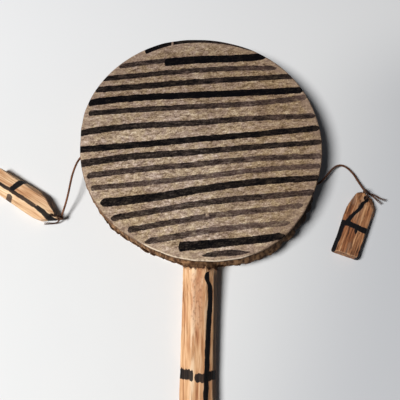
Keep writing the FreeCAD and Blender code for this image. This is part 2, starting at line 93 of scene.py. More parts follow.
# Brushed stripes on the front head, top to bottom: points on the middle line in millimetres,
# and for both ends the width, how much ink they hold and how long they taper
STRIPES = [
    ([(-64.1, 64.2), (-45.9, 67.5), (-26, 70.5)], (3.9, 3.9), (0.91, 0.92), (2, 2)),
    ([(-28.2, 68.3), (2.3, 71.2), (30.7, 72.2), (53.5, 74.3)], (6.8, 5.9), (1, 1), (1, 4)),
    ([(-77, 53.2), (-46.8, 56.6), (-11.8, 60.3), (23.4, 62.8), (61, 63.1)],
     (4, 4), (0.965, 0.88), (1.5, 6)),
    ([(-81.5, 43.4), (-46.4, 46.6), (-4.8, 50.5), (30.2, 53.1), (73.5, 55.6)],
     (4.9, 4.2), (0.965, 0.965), (1.5, 2)),
    ([(-85.8, 31.6), (-52.9, 36.1), (-4.7, 39), (36.8, 40.9), (80.5, 43.4)],
     (5.5, 5.2), (1, 1), (1.2, 3)),
    ([(-84.8, 22.7), (-41.5, 26.6), (-4.7, 28.7), (36.5, 31.3), (83, 37.2)],
     (4.1, 4.2), (0.96, 0.86), (1, 3)),
    ([(-90.5, 5.9), (-51.7, 12), (-4.6, 14.9), (36, 18.4), (88, 20.9)],
     (5.1, 3.9), (0.97, 0.91), (1.5, 3)),
    ([(-91, -7.4), (-51, -3.7), (-4.6, 1), (35.6, 4.8), (90.5, 10.7)],
     (4.9, 4.3), (0.985, 0.985), (1.2, 3)),
    ([(-88.5, -19), (-50.5, -12.9), (-4.5, -9.2), (41.8, -4.9), (91, -1)],
     (5.3, 3.7), (0.95, 0.96), (1.2, 2)),
    ([(-82.2, -28.3), (-43.5, -22.9), (-4.5, -19.1), (41.5, -14.5), (90, -12.4)],
     (4.2, 3.8), (0.91, 0.88), (1.2, 2)),
    ([(-78.6, -37.7), (-43, -34), (2.1, -28.5), (47.7, -22.9), (88.2, -20.3)],
     (3.4, 3.8), (0.86, 0.82), (1.2, 2)),
    ([(-71.2, -48.8), (-36.2, -44.8), (2.1, -38.2), (40.8, -32.8), (87, -29.6)],
     (6.2, 4.2), (0.975, 0.98), (3, 2)),
    ([(-63, -60.5), (-29.6, -54.2), (8.4, -47.9), (46.8, -43.8), (83, -40.7)],
     (4.1, 4), (0.92, 0.92), (2.5, 2.5)),
    ([(-50.6, -68.7), (-16.8, -62.5), (14.6, -57.4), (52.7, -53.1), (73.5, -50.3)],
     (3.8, 3.8), (0.93, 0.76), (1, 4)),
    ([(-38.6, -77.4), (-10.4, -72), (14.5, -67.8), (45.8, -64.8), (63.5, -63.5)],
     (4, 3.4), (0.92, 0.7), (4, 4)),
    ([(-14.9, -80.4), (8.2, -78.5), (32.9, -76.2), (59.8, -72.4)],
     (6.3, 4.5), (0.985, 0.98), (1, 5)),
    ([(1, -86.7), (14.2, -85.3), (34.6, -84.3)], (3.8, 3.2), (0.95, 0.93), (9, 9)),
]


# Forms

def rise(value, low, high):
    """From 0 at low to 1 at high, smoothly."""
    share = min(1, max(0, (value - low) / (high - low)))
    return share * share * (3 - 2 * share)


class Form:
    """Points and faces gathered for one piece, in millimetres."""

    # How far out a cord's strands lie and how thick they are, as shares of its diameter
    STRANDS, STRAND_OUT, STRAND_RADIUS = 3, 0.31, 0.32
    # A frayed end: from where its strands part, and how much slacker and thinner they get
    FRAYED_FROM, SLACKER, THINNER = 0.45, 0.4, 0.55
    # A loose fibre: shares of its length with its thickness there, and how far it bends
    FIBRE_TAPER, FIBRE_BEND = [(0, 1), (0.35, 0.9), (0.7, 0.6), (1, 0.15)], 0.35

    def __init__(self):
        self.points, self.faces = [], []

    def rings(self, rings):
        """Join rings of equally many points, and cap both ends."""
        start, count = len(self.points), len(rings[0])
        for ring in rings:
            self.points.extend(ring)
        for here in range(start, start + (len(rings) - 1) * count, count):
            for step in range(count):
                after = (step + 1) % count
                self.faces.append([here + step, here + after, here + count + after,
                                   here + count + step])
        self.faces.append([start + step for step in reversed(range(count))])
        self.faces.append([start + (len(rings) - 1) * count + step for step in range(count)])

    def tube(self, line, radii, sides=6):
        """A round tube along a line, with its own radius at each point."""
        rings = []
        for spot, radius, (side, over) in zip(line, radii, carried_frames(line)):
            turns = [tau * step / sides for step in range(sides)]
            rings.append([spot + (side * cos(turn) + over * sin(turn)) * radius
                          for turn in turns])
        self.rings(rings)

    def cord(self, line, diameter, lay=3.2, flare=0.0):
        """Strands laid round each other; with a flare they part by it and thin at the end."""
        frames = carried_frames(line)
        reach = run_of(line)
        for strand in range(self.STRANDS):
            path, radii = [], []
            for spot, run, (side, over) in zip(line, reach, frames):
                loose = flare * rise(run / reach[-1], self.FRAYED_FROM, 1)
                slack = 1 - self.SLACKER * loose / (flare + 1)
                turn = tau * (run / lay * slack + strand / self.STRANDS)
                out = diameter * self.STRAND_OUT + loose
                thin = 1 - self.THINNER * loose / (flare or 1)
                path.append(spot + (side * cos(turn) + over * sin(turn)) * out)
                radii.append(diameter * self.STRAND_RADIUS * thin)
            self.tube(path, radii)

    def hairs(self, roots, length, radius, dice):
        """Short loose fibres: each root is a point and the way that the fibre sets off."""
        for root, away in roots:
            reach = length * dice.uniform(0.4, 1.2)
            bend = Vector([dice.uniform(-1, 1) for _ in range(3)]) * reach * self.FIBRE_BEND
            line = [root + away * reach * share + bend * share * share
                    for share, _ in self.FIBRE_TAPER]
            self.tube(line, [radius * thin for _, thin in self.FIBRE_TAPER], sides=3)

    def piece(self, name, finish, body, slot, nodes=(), place=Matrix.Identity(4)):
        """Make the piece, give it its finish, and set it riding on its body."""
        mesh = bpy.data.meshes.new(name)
        mesh.from_pydata([point * MM for point in self.points], [], self.faces)
        return dress(name, mesh, finish, body, nodes, place)


def dress(name, mesh, finish, body, nodes, place=Matrix.Identity(4)):
    """Show a mesh as a piece that rides on its body, in the place of these CAD nodes."""
    mesh.shade_smooth()
    mesh.materials.clear()
    mesh.materials.append(finish.material)
    piece = bpy.data.objects.new(name, mesh)
    scene.collection.objects.link(piece)
    piece.matrix_world = place
    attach(piece, body)
    if nodes:
        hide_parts(*nodes)
    return piece


def run_of(line):
    """How far along the line each of its points is."""
    runs = [0.0]
    for before, after in zip(line, line[1:]):
        runs.append(runs[-1] + (after - before).length)
    return runs


def evenly(line, step):
    """The same line with its points at even steps."""
    runs = run_of(line)
    count = max(3, round(runs[-1] / step))
    spots, place = [], 0
    for number in range(count + 1):
        goal = runs[-1] * number / count
        while place < len(line) - 2 and runs[place + 1] < goal:
            place += 1
        share = (goal - runs[place]) / max(runs[place + 1] - runs[place], 1e-9)
        spots.append(line[place].lerp(line[place + 1], share))
    return spots


def carried_frames(line):
    """Two directions square to the line at each point, which don't spin on the way."""
    frames, side = [], None
    for index in range(len(line)):
        ahead = line[min(index + 1, len(line) - 1)] - line[max(index - 1, 0)]
        ahead.normalize()
        side = side or ahead.orthogonal()
        side = (side - ahead * side.dot(ahead)).normalized()
        frames.append((side, ahead.cross(side)))
    return frames


FINE_CURVE = 32


def smooth_line(control, step):
    """Even points along the NURBS line of these control points."""
    curve = bpy.data.curves.new("line", "CURVE")
    curve.dimensions = "3D"
    curve.resolution_u = FINE_CURVE
    spline = curve.splines.new("NURBS")
    spline.points.add(len(control) - 1)
    for spot, place in zip(spline.points, control):
        spot.co = (*place, 1)
    spline.order_u = 3
    spline.use_endpoint_u = True
    holder = bpy.data.objects.new("line", curve)
    scene.collection.objects.link(holder)
    mesh = bpy.data.meshes.new_from_object(holder)
    line = [vertex.co.copy() for vertex in mesh.vertices]
    bpy.data.objects.remove(holder)
    bpy.data.curves.remove(curve)
    bpy.data.meshes.remove(mesh)
    return evenly(line, step)


def around(turn, radius, height):
    """A point about the drum's axis."""
    return Vector((radius * cos(turn), radius * sin(turn), height))


# Finishes

def srgb(*shade):
    """A colour given as it looks, 0 to 255, as Blender's linear colour."""
    linear = [part / 255 / 12.92 if part < 10.3 else ((part / 255 + 0.055) / 1.055) ** 2.4
              for part in shade]
    return (*linear, 1.0)


class Mark:
    """A value that changes over a surface: maths on it adds nodes to its finish."""

    def __init__(self, finish, socket):
        self.finish, self.socket = finish, socket

    def maths(self, operation, *values):
        return self.finish.node("Math", {"operation": operation}, dict(enumerate(values)))

    def __add__(self, other):
        return self.maths("ADD", self, other)

    def __sub__(self, other):
        return self.maths("SUBTRACT", self, other)

    def __rsub__(self, other):
        return self.maths("SUBTRACT", other, self)

    def __mul__(self, other):
        return self.maths("MULTIPLY", self, other)

    def __pow__(self, other):
        return self.maths("POWER", self, other)

    def __abs__(self):
        return self.maths("ABSOLUTE", self)

    __radd__ = __add__
    __rmul__ = __mul__

    def most(self, other):
        """The greater of the two."""
        return self.maths("MAXIMUM", self, other)

    def rise(self, low, high, kind="SMOOTHSTEP"):
        """From 0 at low to 1 at high."""
        return self.finish.node("MapRange", {"interpolation_type": kind},
                                {"Value": self, "From Min": low, "From Max": high})


class Nodes:
    """The node tree of a material or a world."""

    def __init__(self, owner):
        owner.use_nodes = True
        self.tree = owner.node_tree
        self.tree.nodes.clear()

    def node(self, kind, settings=None, inputs=None, output=0):
        """One node: its settings first, then the values or links of its sockets."""
        made = self.tree.nodes.new("ShaderNode" + kind)
        for name, value in (settings or {}).items():
            if name == "curve":
                self.draw_curve(made, value)
            elif name == "stops":
                self.set_stops(made.color_ramp.elements, value)
            else:
                setattr(made, name, value)
        for name, value in (inputs or {}).items():
            socket = self.find(made.inputs, name)
            if isinstance(value, Mark):
                self.tree.links.new(value.socket, socket)
            else:
                socket.default_value = value
        return Mark(self, self.find(made.outputs, output)) if made.outputs else None

    @staticmethod
    def find(sockets, name):
        live = [socket for socket in sockets if socket.enabled]
        return live[name] if isinstance(name, int) else next(
            socket for socket in live if socket.name == name)

    @staticmethod
    def draw_curve(made, points):
        """Points of a float curve, each from 0 to 1 both ways."""
        curve = made.mapping.curves[0]
        curve.points[0].location = points[0]
        curve.points[1].location = points[-1]
        for point in points[1:-1]:
            curve.points.new(*point)
        made.mapping.update()

    @staticmethod
    def set_stops(elements, stops):
        for place, (position, color) in enumerate(stops):
            stop = elements[place] if place < 2 else elements.new(position)
            stop.position, stop.color = position, color


class Finish(Nodes):
    """A procedural material, measured in millimetres on the piece itself."""

    def __init__(self, name):
        self.material = bpy.data.materials.new(name)
        super().__init__(self.material)
        spot = self.node("TexCoord", output="Object")
        self.place = self.node("VectorMath", {"operation": "SCALE"},
                               {"Vector": spot, "Scale": 1 / MM})
        parts = self.node("SeparateXYZ", {}, {"Vector": self.place}).socket.node.outputs
        self.x, self.y, self.z = (Mark(self, part) for part in parts)

    def ramp(self, value, *stops):
        """Colours by value, from (value, colour) stops."""
        return self.node("ValToRGB", {"stops": stops}, {"Fac": value}, "Color")

    def mix(self, factor, first, second, blend="MIX"):
        return self.node("Mix", {"data_type": "RGBA", "blend_type": blend},
                         {"Factor": factor, "A": first, "B": second})

    def tinted(self, color, tint):
        return self.mix(1.0, color, tint, "MULTIPLY")

    def distance(self, x=0.0, y=0.0):
        """How far the place is from a point, seen from above."""
        along, across = self.x - x, self.y - y
        return (along * along + across * across) ** 0.5

    def spot(self, stretch, turn=0.0, seed=0.0):
        """The place on the piece, turned about Z, stretched and moved."""
        place = self.place
        if turn:
            place = self.node("VectorRotate", {"rotation_type": "Z_AXIS"},
                              {"Vector": place, "Angle": turn})
        return self.node("VectorMath", {"operation": "MULTIPLY_ADD"},
                         {0: place, 1: stretch, 2: (seed, seed * 0.7, -seed)})

    def noise(self, size, stretch=(1, 1, 1), turn=0.0, seed=0.0, detail=2.0, rough=0.5):
        """Cloudy noise whose patches are about this many millimetres."""
        return self.node("TexNoise", {}, {
            "Vector": self.spot(stretch, turn, seed), "Scale": 1 / size, "Detail": detail,
            "Roughness": rough})

    def waver(self, reach, size, **kind):
        """Noise about zero, over this reach in all."""
        return (self.noise(size, **kind) - 0.5) * reach

    def brushed(self, along, across, points, widths, ink=(1, 1), ends=(1, 1)):
        """How much ink a brushed line leaves, from points on its middle line. Widths, ink and
        the tapers' lengths are for its two ends."""
        soft = 0.22
        first, last = points[0][0], points[-1][0]
        low = min(point[1] for point in points) - 1
        tall = max(point[1] for point in points) + 1 - low
        share = along.rise(first, last, "LINEAR")
        curve = [((a - first) / (last - first), (b - low) / tall) for a, b in points]
        middle = self.node("FloatCurve", {"curve": curve}, {"Value": share}) * tall
        half = share * ((widths[1] - widths[0]) / 2) + (widths[0] / 2 + soft)
        span = last - first
        cap = ((share * (span / ends[0])).rise(0, 1, "LINEAR")
               * ((1 - share) * (span / ends[1])).rise(0, 1, "LINEAR")) ** 0.5
        mask = (half * cap - abs(across - low - middle)).rise(0, 2 * soft)
        return mask * (share * (ink[1] - ink[0]) + ink[0])

    def finish(self, color, roughness, height, depth, **sockets):
        """The surface: height, from 0 to 1, stands this many millimetres proud."""
        bump = self.node("Bump", {}, {"Height": height, "Distance": depth * MM})
        shader = self.node("BsdfPrincipled", {}, {
            "Base Color": color, "Roughness": roughness, "Normal": bump,
            **{name.replace("_", " "): value for name, value in sockets.items()}})
        self.node("OutputMaterial", {}, {"Surface": shader})
        return self


# Thick and thin ink, and how strongly the grain shows through it
INK, THIN_INK = srgb(8, 7, 10), srgb(62, 46, 48)
GRAIN_IN_INK = 1.8

# The hide's tones, and tints that multiply them, the first of which is painted shade
HIDE_TONES = [(0.345, srgb(80, 62, 51)), (0.44, srgb(144, 123, 104)),
              (0.54, srgb(194, 172, 151)), (0.65, srgb(247, 231, 212))]
PAINTED_SHADE_TINT, WARM = (0.68, 0.64, 0.60, 1), (1.0, 0.97, 0.88, 1)
STRAW, ROSY = (1.01, 1.005, 0.91, 1), (0.995, 0.985, 1.05, 1)
# The rim's worn colour, the turned edge's painted highlight, and the edge's darker colour elsewhere
RUBBED_RIM, EDGE_PAINTED_HIGHLIGHT, DULL_EDGE = srgb(168, 144, 130), srgb(232, 214, 190), srgb(88, 62, 46)
# The skirt's folds in painted light and shade, its flecks, and its dark places, mostly painted
# shade
FOLD_PAINTED_LIGHT, FOLD_PAINTED_SHADE, SKIRT_FLECK = srgb(160, 122, 88), srgb(84, 57, 39), srgb(190, 158, 126)
SKIRT_PAINTED_SHADE, SKIRT_LOW, LAP_EDGE_SHADE = srgb(36, 28, 24), srgb(58, 38, 26), srgb(40, 26, 20)
# Wood: ridges paled by wear and a painted highlight, and painted shade on the handle's far side
ROSY_WOOD, RIDGE_WEAR_AND_HIGHLIGHT = (0.86, 0.74, 0.68, 1), srgb(246, 214, 176)
RUBBED_AND_HIGHLIGHT_WOOD, KNOTTY, KNOT_DARK = srgb(248, 218, 182), srgb(196, 140, 106), srgb(124, 72, 42)
LINE_SIDE, FAR_SIDE_PAINTED_SHADE = srgb(172, 120, 78), srgb(62, 42, 28)
DUSTY, CRACK = srgb(150, 124, 104), srgb(44, 28, 22)


def inked(finish, ground, ink, grain):
    """Lay ink over a ground colour: thin ink is browner and the grain shows through."""
    cover = ink - (grain - 0.5) * ink * (1.06 - ink) * GRAIN_IN_INK
    cover = cover.rise(0, 1, "LINEAR")
    shade = finish.mix(cover.rise(0.76, 1.0), THIN_INK, INK)
    return finish.mix(cover, ground, shade), cover


def hide_ground(hide, tone):
    """A head's bare face: cloudy, darker towards the top as painted shade, warmer at the right
    and lower left.
    """
    x, y = hide.x, hide.y
    ground = hide.ramp(tone, *HIDE_TONES)
    clouds = hide.noise(26, detail=3)
    corners = abs(x * y) * 0.00014 - x * y * 0.00005
    low_left, low_right = (x + y).rise(-60, -110), (x - y).rise(60, 110)
    # Painted shade: darker towards the top and right and at the lower left, lighter at the lower
    # right
    shade = (x * 0.0034 + y * 0.0063 + corners + low_left * 0.16 - low_right * 0.1
             + 0.42).rise(0, 1, "LINEAR")
    ground = hide.mix((clouds * 0.6 + shade * 0.39).rise(0.3, 0.68), ground,
                      hide.tinted(ground, PAINTED_SHADE_TINT))
    ground = hide.mix(x.rise(0, 60).most(low_left * 0.8), ground, hide.tinted(ground, WARM))
    return hide.mix(hide.noise(5, seed=61).rise(0.35, 0.65), hide.tinted(ground, ROSY),
                    hide.tinted(ground, STRAW))


def stripe_ink(hide, radius):
    """The ink of the stripes and of the top rim, nicked and worn in places."""
    x, y = hide.x, hide.y
    across = y + (hide.waver(1.4, 4.6, seed=21) + hide.waver(0.6, 1.2, seed=5))
    ink = hide.brushed(x, radius, [(-44, 90.3), (-22, 89.8), (0, 88.9), (15, 88.8), (30, 89.2),
                                   (44, 89.9)], (6.2, 2.0), (1, 0.92), (1.5, 6))
    ink = ink * y.rise(0, 5) * abs(x + 22.2).rise(0.4, 1.1)
    for points, widths, strength, ends in STRIPES:
        widths = [width + INK_SPREAD for width in widths]
        ink = ink.most(hide.brushed(x, across, points, widths, strength, ends))
    nick = (hide.noise(1.0, seed=31) * 0.6 + (x - 5.2) ** 2 * 0.5).rise(0.5, 1.4)
    nick = nick.most(abs(y + 56.3).rise(1.2, 3.2))
    streaks = hide.noise(1.3, stretch=(0.07, 1, 1), turn=0.06, seed=29, detail=3) - 0.5
    worn = (hide.noise(11, seed=2, detail=3) + x * 0.0012).rise(0.5, 0.7)
    ink = ink * (1 - (1.01 - ink) * (worn * 0.9 + streaks * 2.4))
    return ink * nick * hide.z.rise(20.8, 22.6)


def skirt_color(hide, depth, radius, flecks, front):
    """The turned-down side: its folds in painted light and shade, and painted shade low down
    towards its edge, in its crease and on the side away from the light; darker over the handle,
    with painted shade along the lap's outer edge."""
    x, y = hide.x, hide.y
    folds = hide.noise(2.6, stretch=(1, 1, 0.16), seed=8, detail=3)
    # Painted light and shade on the folds
    color = hide.mix(folds.rise(0.38, 0.62), FOLD_PAINTED_LIGHT, FOLD_PAINTED_SHADE)
    color = hide.mix(flecks.rise(0.55, 0.7) * 0.3, color, SKIRT_FLECK)
    # Painted shade on the skirt at the right, the side away from the light
    away = x.rise(12, 46) * y.rise(10, -20) * (1 - y.rise(-58, -74) * 0.4) * 0.93
    color = hide.mix(away, color, SKIRT_PAINTED_SHADE)
    # Painted shade towards each skirt's edge, in the gap between the skirts, and in the crease
    # under the turned edge; the lap over the handle is darkened with the same colour
    low = (depth + (folds - 0.5) * 6).rise(11, 16) if front else depth.rise(4, 6.5)
    crease = depth.rise(1.5, 2.2) * (1 - depth.rise(2.6, 5))
    lap = (1 - abs(x).rise(11, 14)) * y.rise(-89.6, -91)
    color = hide.mix(low.most(crease).most(lap * 0.8) * 0.7, color, SKIRT_LOW)
    # Painted shade along the outer edge of the lap over the handle
    return hide.mix(lap * radius.rise(93.2, 94.6) * 0.7, color, LAP_EDGE_SHADE)


def hide_finish(name, front):
    """Dried hide with short leaning fibres, pale flecks and, on the front head, the stripes."""
    hide = Finish(name)
    x, y = hide.x, hide.y
    fibres = hide.noise(1.8, stretch=(0.42, 1.1, 1), turn=-0.1, seed=3, detail=3, rough=0.6)
    flecks = hide.noise(1.0, stretch=(0.7, 1.1, 1), turn=-0.35, seed=11, rough=0.6)
    tone = fibres * 0.45 + flecks * 0.35 + hide.noise(0.8, seed=17) * 0.2
    radius = hide.distance()
    depth = (HEAD_TOP - hide.z) if front else hide.z
    face, cover = hide_ground(hide, tone), 0
    if front:
        face = hide.mix(radius.rise(81, 88) * 0.3, face, RUBBED_RIM)
        face, cover = inked(hide, face, stripe_ink(hide, radius), (tone - 0.5) * 1.6 + 0.5)
    color = hide.mix(depth.rise(1.2, 2.2), face, skirt_color(hide, depth, radius, flecks, front))
    edge = (depth.rise(0.2, 0.5) * (1 - depth.rise(1.2, 2.0)) * radius.rise(84, 86)
            * hide.noise(3, seed=14).rise(0.3, 0.5)) * (1 - cover)
    # A painted highlight on the turned edge at the bottom, where it faces the light; elsewhere the
    # edge is darker
    painted_highlight = abs(x + 3.5).rise(44, 32) * y.rise(-55, -70)
    color = hide.mix(edge * painted_highlight, color, EDGE_PAINTED_HIGHLIGHT)
    color = hide.mix(edge * (1 - painted_highlight) * 0.6, color, DULL_EDGE)
    return hide.finish(color, roughness=0.85, height=tone.rise(0.3, 0.7), depth=0.4,
                       Specular_IOR_Level=0.05)


def wood_finish(name, tones, stretch, marks=None, worn=0.4, wear_and_light=None):
    """Whittled wood in four tones from dark to light, its grain along the least stretched way;
    worn is how far wear and a painted highlight pale its ridges; wear_and_light changes the bare
    wood and marks gives the ink on it."""
    wood = Finish(name)
    patches = wood.noise(9, tuple(0.6 * part + 0.3 for part in stretch), seed=4)
    bands = wood.noise(2.8, stretch, seed=9, detail=4, rough=0.6)
    streaks = wood.noise(1.0, stretch, seed=2, detail=3, rough=0.62)
    tone = bands * 0.5 + streaks * 0.5
    color = wood.ramp(tone, *zip((0.36, 0.45, 0.53, 0.64), (srgb(*shade) for shade in tones)))
    color = wood.mix(patches.rise(0.48, 0.66), color, wood.tinted(color, ROSY_WOOD))
    # Ridges paled partly by wear and partly as a painted highlight
    ridge = wood.node("NewGeometry", output="Pointiness").rise(0.503, 0.53)
    color = wood.mix(ridge * worn, color, RIDGE_WEAR_AND_HIGHLIGHT)
    if wear_and_light:
        color = wear_and_light(wood, color)
    if marks:
        color = inked(wood, color, marks(wood), streaks)[0]
    return wood.finish(color, roughness=0.7, height=tone.rise(0.35, 0.65), depth=0.16,
                       Specular_IOR_Level=0.2)


def handle_wear_and_painted_light(wood, color):
    """The handle's ridge, paled by rubbing and a painted highlight, a knotty patch near the drum,
    browner wood beside the painted line and painted shade on its far side."""
    across = wood.x - (wood.y + 90) * 0.0135
    # The ridge is paled partly by rubbing and partly as a painted highlight
    rubbed_and_highlight = (1 - abs(across + 4.3).rise(0.6, 2.1)) * wood.noise(
        3, stretch=(1, 0.2, 1), seed=6).rise(0.3, 0.5)
    color = wood.mix(rubbed_and_highlight * 0.75, color, RUBBED_AND_HIGHLIGHT_WOOD)
    patch = (abs(wood.x + 2.2).rise(5.4, 2.4)
             * abs(wood.y + 115 + wood.waver(14, 5, seed=12)).rise(24, 11))
    color = wood.mix(patch * 0.5, color, KNOTTY)
    knots = patch * wood.noise(1.5, stretch=(1, 0.6, 1), seed=15, detail=3).rise(0.52, 0.64)
    color = wood.mix(knots * 0.45, color, KNOT_DARK)
    beside_line = abs(across - 2.6).rise(2.2, 0.8) * wood.y.rise(-100, -112)
    color = wood.mix(beside_line * 0.4, color, LINE_SIDE)
    # Painted shade on the far side, which faces away from the light
    far_side_shade = across.rise(9.0, 10.2) * wood.y.rise(-92, -100)
    return wood.mix(far_side_shade * 0.85, color, FAR_SIDE_PAINTED_SHADE)


def handle_marks(wood):
    """A long brushed line down the handle and a band across it, on its upper facets."""
    down, across = wood.y * -1, wood.x + wood.waver(1.2, 5, seed=21)
    line = wood.brushed(down, across, [
        (96.2, 7.2), (101, 4.8), (107.4, 7), (135.2, 5.6), (153.9, 4.7), (177.1, 3.8),
        (230, 3.6), (280, 2.6)], (3.4, 3.5), (1, 1), (3, 20))
    hairs = wood.waver(5, 1.3, stretch=(1, 0.12, 1), seed=27)
    left = wood.brushed(wood.x, down + hairs, [(-14.8, 162.4), (-9, 163.1), (-4.4, 163.9)],
                        (6.6, 6.6), (1, 0.95), (0.4, 0.4))
    right = wood.brushed(wood.x, down + hairs * 0.5, [
        (-3.7, 165.2), (1.9, 165.4), (5.8, 164.5), (12.6, 163.6)], (5.6, 5.8), (0.95, 1))
    sunk = down.rise(94, 150, "LINEAR") * 4.2
    top = (wood.z + sunk).rise(8.2, 10.2)
    return line.most(left).most(right) * top


def old_wear(wood, color):
    """Dark cracks along the grain and dusty grey places."""
    dusty = wood.noise(5, stretch=(0.4, 1, 1), seed=41).rise(0.52, 0.68)
    color = wood.mix(dusty * 0.35, color, DUSTY)
    cracks = wood.noise(1.3, stretch=(0.14, 1, 1), seed=33, detail=3).rise(0.56, 0.66)
    return wood.mix(cracks * 0.8, color, CRACK)


def left_marks(wood):
    """A line along the striker in two strokes, a band across it and a line by its edge."""
    wobble = wood.waver(1.4, 4, seed=3)
    x, y = wood.x, wood.y + wobble
    near = wood.brushed(x, y, [(-1.5, 1.5), (0.9, 1.4), (5.8, 1.2), (11.5, 0.3), (19, 0)],
                        (5, 3), (1, 0.97))
    far = wood.brushed(x, y, [(17.6, 0), (28.8, 0), (43.8, 0.2), (61, 1.2)], (2.8, 2.7),
                       (0.93, 0.96))
    up = wood.brushed(wood.y * -1, x + wobble, [(0, 41.8), (3, 41.2), (7, 40.2), (13, 38.8)],
                      (4.4, 5.2))
    low = wood.brushed(wood.y, x + wobble, [(2.6, 40.4), (5, 39.8), (10, 38.4)], (4.8, 5.6),
                       (0.86, 0.92))
    edge = wood.brushed(x, y, [(0.5, -2.9), (7, -6.4), (12.3, -8.8), (18, -10.8), (26, -11.6)],
                        (2.6, 1.6), (0.93, 0.85), (2, 6))
    gap = wood.distance(17.9, -1.2).rise(-0.3, 1.1)
    return near.most(far).most(up).most(low).most(edge) * wood.z.rise(0.8, 2) * gap


def right_marks(wood):
    """A slanting line from the hole, which is inked round and holds painted shade, a band with a
    drip, and a line along each side.
    """
    wobble = wood.waver(1.4, 4, seed=7)
    x, y = wood.x, wood.y + wobble
    slant = wood.brushed(x, y, [(3, 3), (5.9, 2.5), (9.3, 0.2), (14.6, -0.9), (19.2, -3.2),
                                (22.4, -4.6), (27.5, -5.8)], (2.6, 3.2))
    band = wood.brushed(wood.y, x + wobble, [(-12, 28), (-3.9, 28.6), (0.8, 28.9),
                                             (4.7, 29.2), (12, 29.3)], (4.2, 4.2))
    drip = wood.brushed(x, wood.y, [(29, 1.2), (32, 1.8), (34.6, 2.2)], (3.2, 1.8), (1, 0.95),
                        (1, 2))
    left = wood.brushed(x, y, [(28, -8), (37, -8), (53, -8.3)], (3, 2.6), (1, 1), (2, 1))
    right = wood.brushed(x, y, [(16, 11.2), (28, 10.9), (37, 10.7), (53, 10.2)], (3, 4.4),
                         (0.93, 1), (4, 1))
    # Ink round the hole, and painted shade inside it
    ring = wood.distance(4.2, 1.7).rise(2.5, 1.7)
    ink = slant.most(band).most(drip).most(left).most(right).most(ring)
    return ink * wood.z.rise(0.8, 2)


def cord_finish(name, light, dark, gap, top=None):
    """Brown plant-fibre cord, with painted shade darker towards the right; top is the tone of the
    ties' inked tops.
    """
    cord = Finish(name)
    fibre = cord.noise(0.35, seed=3, detail=3, rough=0.6)
    tone = cord.noise(4, seed=8)
    color = cord.mix(tone.rise(0.35, 0.65), srgb(*light), srgb(*dark))
    color = cord.mix(fibre.rise(0.45, 0.7) * 0.5, color, srgb(*gap))
    # Painted shade: the cord darker towards the right, where it lies in the drum's shadow
    color = cord.mix(cord.x.rise(30, 90) * 0.65, color, srgb(*gap))
    if top:
        color = cord.mix(cord.z.rise(5, 8) * 0.75, color, srgb(*top))
    return cord.finish(color, roughness=0.86, height=fibre, depth=0.12, Specular_IOR_Level=0.2)


front_hide = hide_finish("front_hide", front=True)
back_hide = hide_finish("back_hide", front=False)
handle_wood = wood_finish(
    "handle_wood", [(146, 94, 58), (202, 151, 108), (226, 180, 136), (246, 213, 176)],
    (1, 0.04, 1), handle_marks, wear_and_light=handle_wear_and_painted_light)
left_wood = wood_finish(
    "left_striker_wood", [(158, 108, 72), (206, 160, 118), (230, 192, 150), (248, 220, 184)],
    (0.06, 1, 1), left_marks)
right_wood = wood_finish(
    "right_striker_wood", [(56, 36, 26), (124, 82, 54), (166, 114, 77), (210, 163, 120)],
    (0.06, 1, 1), right_marks, worn=0.2, wear_and_light=old_wear)
hoop_wood = wood_finish(
    "hoop_wood", [(50, 32, 20), (84, 58, 38), (104, 74, 50), (130, 96, 66)], (0.3, 0.3, 1),
    worn=0.1)
cord_fibre = cord_finish("cord_fibre", light=(142, 94, 66), dark=(104, 66, 44), gap=(66, 40, 27))
tie_fibre = cord_finish("tie_fibre", light=(104, 72, 52), dark=(70, 46, 36), gap=(40, 25, 20),
                        top=(30, 22, 20))


# Heads

# How far the rim stands outside a true circle, in millimetres, by degrees
RIM = [(0, 1.0), (15, 0.9), (30, 1.0), (45, 0.9), (60, 0.5), (75, 0.0), (90, 0.2), (100, 0.9),
       (110, 1.8), (122, 2.0), (140, 2.2), (152, 2.1), (163, 1.6), (172, 0.4), (180, -0.6),
       (205, -0.5), (215, -0.9), (227, -1.4), (240, -2.2), (250, -1.7), (260, -0.6), (270, 0.3),
       (280, 1.5), (290, 2.9), (300, 3.8), (310, 3.8), (320, 2.8), (330, 1.7), (342, 1.1),
       (360, 1.0)]


def out_of_round(turn):
    """The rim's distance outside the true circle."""
    turn = degrees(turn) % 360
    for (start, low), (stop, high) in zip(RIM, RIM[1:]):
        if turn <= stop:
            return low + (high - low) * rise(turn, start, stop)
    return RIM[0][1]


def trued(turn):
    """1 where the right cord swings along the side, which is true and smooth there."""
    return rise(turn, radians(332), radians(338)) * rise(turn, radians(359), radians(354))


# The handle's shoulder in section: points across the handle and their height
HANDLE_TOP = [(-12.5, 12.6), (-4.4, 19.9), (4.2, 19.5), (10.1, 14.8), (12.5, 8.6)]


def handle_top(x):
    """Height of the handle's shoulder."""
    for (left, low), (right, high) in zip(HANDLE_TOP, HANDLE_TOP[1:]):
        if left <= x <= right:
            return low + (high - low) * (x - left) / (right - left)
    return HANDLE_TOP[0][1]


